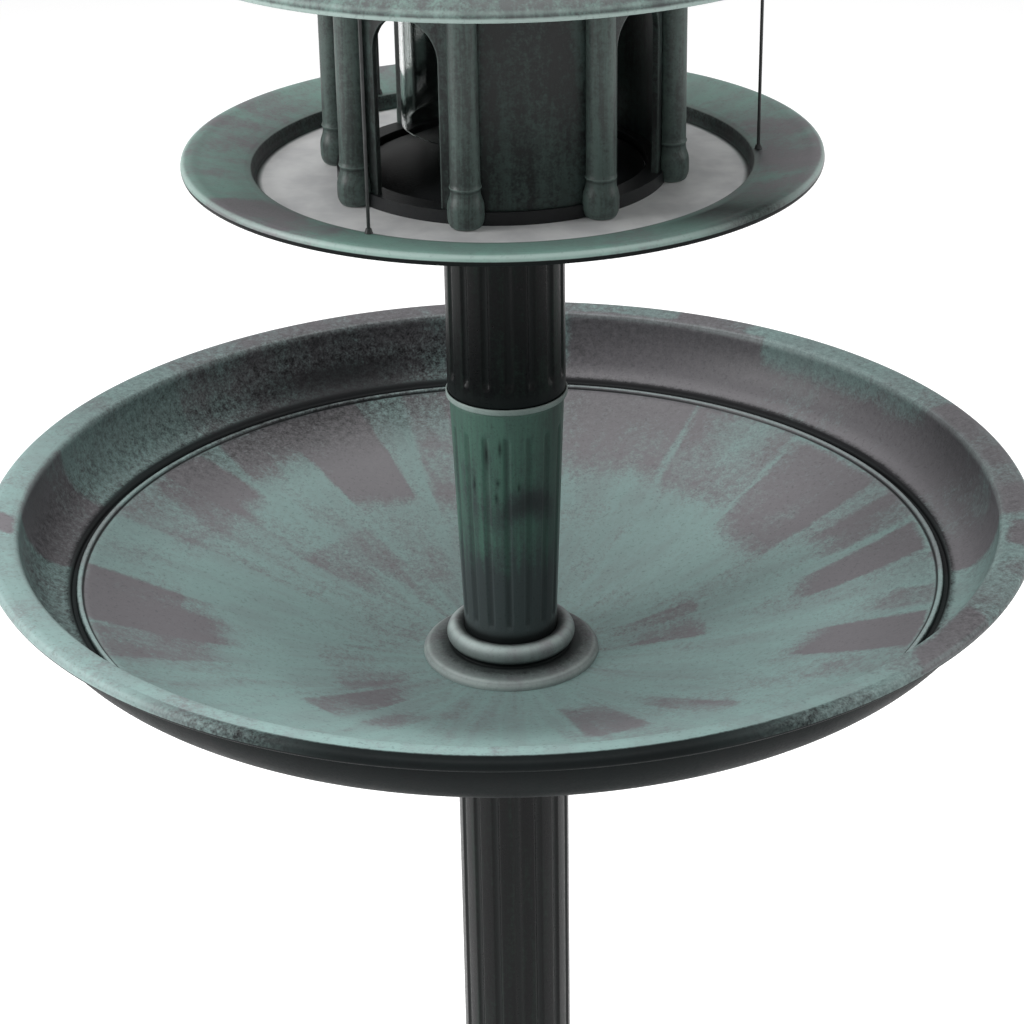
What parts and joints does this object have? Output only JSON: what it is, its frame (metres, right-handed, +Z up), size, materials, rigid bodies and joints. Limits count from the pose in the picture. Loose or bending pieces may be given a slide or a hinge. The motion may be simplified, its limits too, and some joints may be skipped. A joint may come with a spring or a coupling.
{
  "type": "pedestal bird feeder and bath",
  "caption": "Pedestal bird feeder: stepped foot, fluted pole, wide shallow bath bowl, round seed tray, pillared house with a seed tube, and a domed lift-off roof.",
  "frame": {"origin": "centre of the foot's underside, on the ground", "axes": "+Z is up the pole, -Y is the front, and +X is to the right when the object is seen from the front"},
  "size_m": [0.5, 0.5, 1.05],
  "materials": {
    "painted_bowl": "dark moulded plastic dry-brushed with verdigris green, satin",
    "painted_tray": "dark moulded plastic dry-brushed with verdigris green, satin",
    "painted_roof": "dark moulded plastic dry-brushed with verdigris green, satin",
    "painted_foot": "dark moulded plastic dry-brushed with verdigris green, satin",
    "painted_house": "black-green plastic with thin green brushing, satin",
    "painted_pilaster": "grey-green brushed paint on dark plastic, satin",
    "painted_green_pole": "brushed green paint over dark fluted plastic, satin",
    "painted_dark_pole": "black-green plastic, soft gloss",
    "painted_ring": "heavily brushed pale green paint, satin",
    "black_plastic": "black moulded plastic, satin",
    "clear_plastic": "clear",
    "plug_rubber": "matt",
    "screw_steel": "zinc plated",
    "wire_steel": "black coated"
  },
  "bodies": {
    "stand": {"base_foot": "painted_foot", "base_plate": "black_plastic", "base_screws": "screw_steel", "base_collar": "painted_ring", "pole_lower_section": "painted_dark_pole", "pole_lower_ring": "painted_ring", "pole_middle_section": "painted_dark_pole", "bath_socket": "black_plastic", "bath_bowl": "painted_bowl", "bath_collar": "painted_ring", "pole_tapered_section": "painted_green_pole", "joint_bead": "painted_ring", "pole_upper_section": "painted_dark_pole"},
    "plug": {"filler_plug": "plug_rubber"},
    "feeder": {"tray_socket": "black_plastic", "feeder_tray": "painted_tray", "house_screws": "screw_steel", "house_plinth": "black_plastic", "house_wall": "painted_house", "top_frame": "painted_house", "seed_cone": "black_plastic", "pilaster_1": "painted_pilaster", "pilaster_2": "painted_pilaster", "pilaster_3": "painted_pilaster", "pilaster_4": "painted_pilaster", "pilaster_5": "painted_pilaster", "pilaster_6": "painted_pilaster", "pilaster_7": "painted_pilaster", "pilaster_8": "painted_pilaster", "guide_wire_1": "wire_steel", "guide_wire_2": "wire_steel", "guide_wire_3": "wire_steel"},
    "hopper": {"hopper_tube": "clear_plastic", "hopper_flange": "black_plastic"},
    "roof": {"roof_shell": "painted_roof", "roof_finial": "painted_ring"}
  },
  "joints": [
    {"name": "plug_pull", "type": "slide", "parent": "stand", "child": "plug", "axis": [0, 0, 1], "range_m": [0, 0.03]},
    {"name": "feeder_turn", "type": "hinge", "parent": "stand", "child": "feeder", "pos_m": [0, 0, 0.79], "axis": [0, 0, 1], "continuous": true},
    {"name": "hopper_lift", "type": "slide", "parent": "feeder", "child": "hopper", "axis": [0, 0, 1], "range_m": [0, 0.11]},
    {"name": "roof_lift", "type": "slide", "parent": "hopper", "child": "roof", "axis": [0, 0, 1], "range_m": [0, 0.12]}
  ]
}
